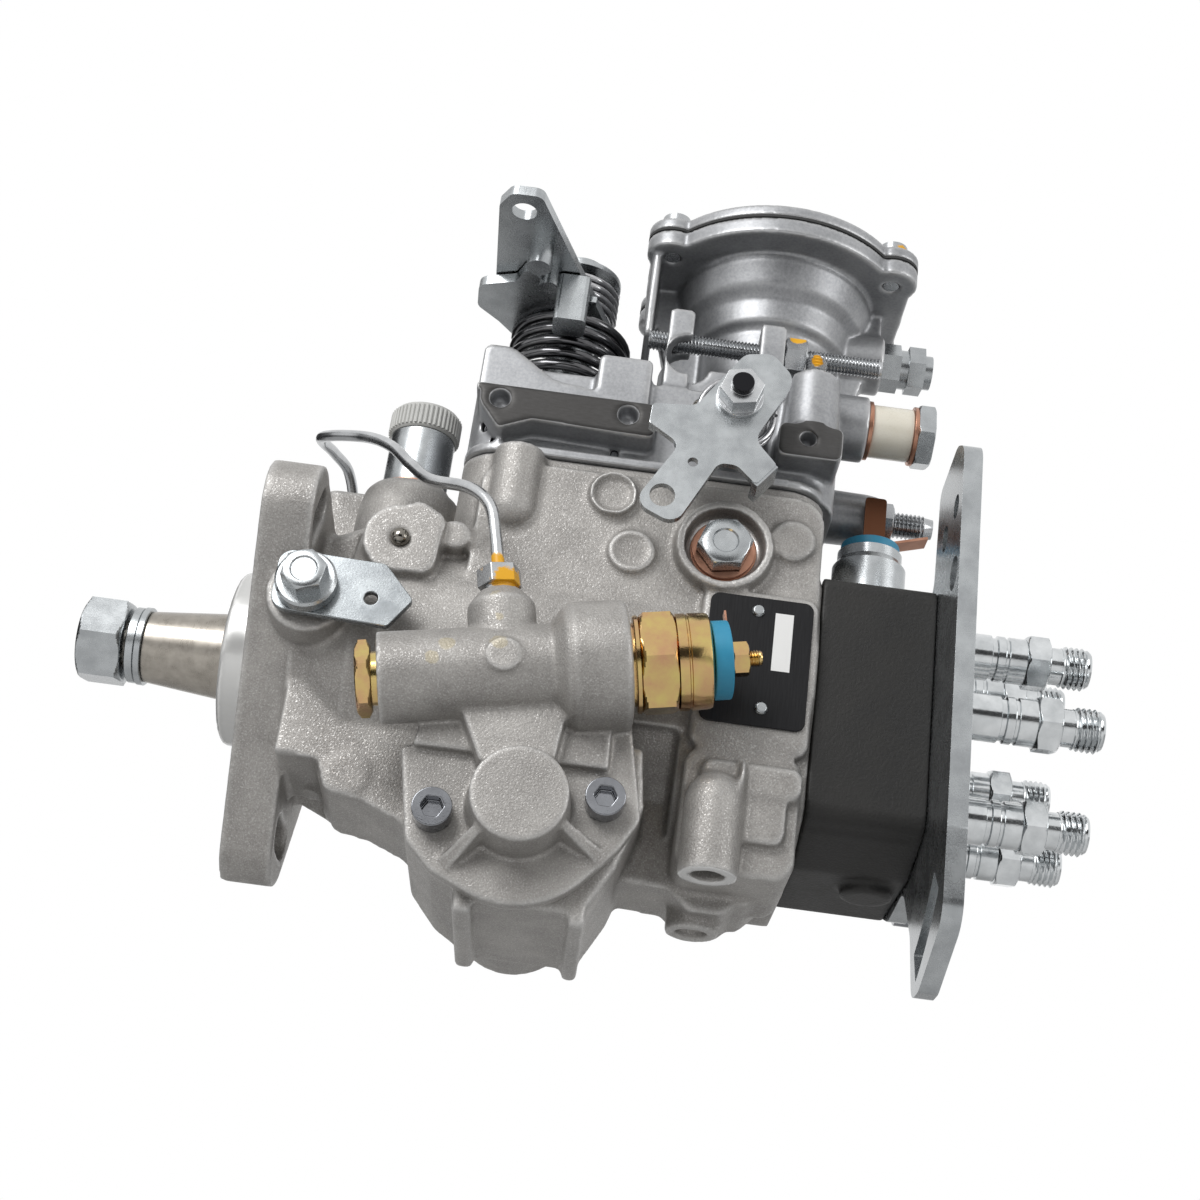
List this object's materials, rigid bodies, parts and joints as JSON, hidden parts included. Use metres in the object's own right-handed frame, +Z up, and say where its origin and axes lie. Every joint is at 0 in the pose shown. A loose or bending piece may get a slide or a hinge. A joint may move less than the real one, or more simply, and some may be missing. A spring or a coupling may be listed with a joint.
{
  "type": "diesel injection pump",
  "caption": "Rotary distributor injection pump for a diesel engine, with mechanical governor, boost compensator and delivery outlets.",
  "frame": {"origin": "on the drive shaft's axis at the mounting face of the flange", "axes": "+X along the drive shaft towards the delivery outlets, +Z up, +Y away from the side with the stop lever"},
  "size_m": [0.2807, 0.1348, 0.2372],
  "materials": {
    "cast_housing": "shot-blasted cast",
    "die_cast": "die cast",
    "head_black": "black phosphate",
    "zinc_steel": "zinc plated",
    "dark_steel": "oiled steel",
    "gold_chromate": "yellow chromate",
    "copper": "bare copper",
    "blue_plastic": "matt",
    "white_plastic": "translucent",
    "cap_plastic": "knurled",
    "plate_black": "anodised",
    "seal_rubber": "smooth",
    "bearing_bronze": "sintered",
    "ground_steel": "ground"
  },
  "bodies": {
    "housing": {"pump_housing": "cast_housing", "governor_cover": "die_cast", "socket_screws": "zinc_steel", "distributor_head": "head_black", "distributor_barrel": "ground_steel", "delivery_valve_holders": "zinc_steel", "head_centre_plug": "dark_steel", "rear_bracket": "zinc_steel", "shaft_bush": "bearing_bronze", "shaft_seal": "seal_rubber", "feed_pump_ring": "ground_steel", "cold_start_cover": "cast_housing", "timing_far_cover": "cast_housing", "cold_start_plug": "gold_chromate", "cold_start_solenoid": "gold_chromate", "solenoid_insulators": "blue_plastic", "terminal_blades": "copper", "nameplate": "plate_black", "nameplate_rivets": "zinc_steel", "hex_bolts": "zinc_steel", "sealing_washers": "copper", "lifting_bracket": "zinc_steel", "fuel_tube": "zinc_steel", "tube_nuts": "zinc_steel", "inlet_fitting": "zinc_steel", "inlet_cap": "cap_plastic", "overflow_bolt": "zinc_steel", "overflow_sleeve": "white_plastic", "shutoff_solenoid": "zinc_steel", "aneroid_cover": "die_cast", "diaphragm": "seal_rubber", "aneroid_screws": "zinc_steel", "boost_fitting": "zinc_steel", "ball_plugs": "ground_steel", "adjusting_screws": "zinc_steel", "governor_shaft": "ground_steel", "inner_springs": "dark_steel", "return_springs": "dark_steel"},
    "drive": {"drive_shaft": "ground_steel", "drive_nut": "dark_steel", "feed_pump_rotor": "ground_steel", "drive_gear": "dark_steel", "cam_plate": "ground_steel", "plunger": "ground_steel"},
    "governor": {"governor_cage": "dark_steel"},
    "weight_1": {"flyweight_1": "dark_steel"},
    "weight_2": {"flyweight_2": "dark_steel"},
    "weight_3": {"flyweight_3": "dark_steel"},
    "weight_4": {"flyweight_4": "dark_steel"},
    "sleeve": {"governor_sleeve": "ground_steel"},
    "lever": {"governor_lever": "dark_steel"},
    "spool": {"control_spool": "ground_steel"},
    "rollers": {"roller_ring": "ground_steel"},
    "timing": {"timing_piston": "ground_steel"},
    "throttle": {"throttle_shaft": "zinc_steel", "throttle_lever": "zinc_steel"},
    "stop": {"stop_shaft": "zinc_steel", "stop_lever": "zinc_steel"},
    "boost_pin": {"aneroid_pin": "ground_steel"},
    "shutoff": {"shutoff_armature": "ground_steel"}
  },
  "joints": [
    {"name": "drive_spin", "type": "hinge", "parent": "housing", "child": "drive", "pos_m": [0, 0, 0], "axis": [1, 0, 0], "continuous": true},
    {"name": "governor_spin", "type": "hinge", "parent": "housing", "child": "governor", "pos_m": [0, 0, 0.0495], "axis": [1, 0, 0], "continuous": true},
    {"name": "sleeve_slide", "type": "slide", "parent": "housing", "child": "sleeve", "axis": [1, 0, 0], "range_m": [0, 0.00185], "stiffness_N_per_m": 200},
    {"name": "weight_1_swing", "type": "hinge", "parent": "governor", "child": "weight_1", "pos_m": [0.066, 0, 0.0625], "axis": [0, -1, 0], "range_deg": [0, 17.97]},
    {"name": "weight_2_swing", "type": "hinge", "parent": "governor", "child": "weight_2", "pos_m": [0.066, -0.013, 0.0495], "axis": [0, 0, -1], "range_deg": [0, 17.97]},
    {"name": "weight_3_swing", "type": "hinge", "parent": "governor", "child": "weight_3", "pos_m": [0.066, 0, 0.0365], "axis": [0, 1, 0], "range_deg": [0, 17.97]},
    {"name": "weight_4_swing", "type": "hinge", "parent": "governor", "child": "weight_4", "pos_m": [0.066, 0.013, 0.0495], "axis": [0, 0, 1], "range_deg": [0, 17.97]},
    {"name": "lever_tilt", "type": "hinge", "parent": "housing", "child": "lever", "pos_m": [0.1223, 0, 0.0325], "axis": [0, 1, 0], "range_deg": [0, 6.34]},
    {"name": "spool_slide", "type": "slide", "parent": "housing", "child": "spool", "axis": [1, 0, 0], "range_m": [-0.00244, 0]},
    {"name": "timing_slide", "type": "slide", "parent": "housing", "child": "timing", "axis": [0, 1, 0], "range_m": [-0.007, 0], "stiffness_N_per_m": 900},
    {"name": "roller_ring_turn", "type": "hinge", "parent": "housing", "child": "rollers", "pos_m": [0, 0, 0], "axis": [1, 0, 0], "range_deg": [-7.81, 0]},
    {"name": "throttle_turn", "type": "hinge", "parent": "housing", "child": "throttle", "pos_m": [0.0715, 0, 0], "axis": [0, 0, 1], "range_deg": [0, 35], "stiffness_Nm_per_rad": 0.6},
    {"name": "stop_turn", "type": "hinge", "parent": "housing", "child": "stop", "pos_m": [0.1214, 0, 0.0706], "axis": [0, 1, 0], "range_deg": [0, 30], "stiffness_Nm_per_rad": 0.3},
    {"name": "boost_pin_slide", "type": "slide", "parent": "housing", "child": "boost_pin", "axis": [0, 0, 1], "range_m": [-0.004, 0], "stiffness_N_per_m": 2500},
    {"name": "shutoff_slide", "type": "slide", "parent": "housing", "child": "shutoff", "axis": [0, 0, 1], "range_m": [0, 0.002], "stiffness_N_per_m": 1500}
  ],
  "couplings": [
    {"joint": "governor_spin", "follows": "drive_spin", "ratio": -1.2},
    {"joint": "weight_1_swing", "follows": "sleeve_slide", "rad_per_m": 166.67},
    {"joint": "weight_2_swing", "follows": "sleeve_slide", "rad_per_m": 166.67},
    {"joint": "weight_3_swing", "follows": "sleeve_slide", "rad_per_m": 166.67},
    {"joint": "weight_4_swing", "follows": "sleeve_slide", "rad_per_m": 166.67},
    {"joint": "lever_tilt", "follows": "sleeve_slide", "rad_per_m": 58.824},
    {"joint": "spool_slide", "follows": "sleeve_slide", "ratio": -1.2941},
    {"joint": "roller_ring_turn", "follows": "timing_slide", "rad_per_m": 19.231}
  ]
}
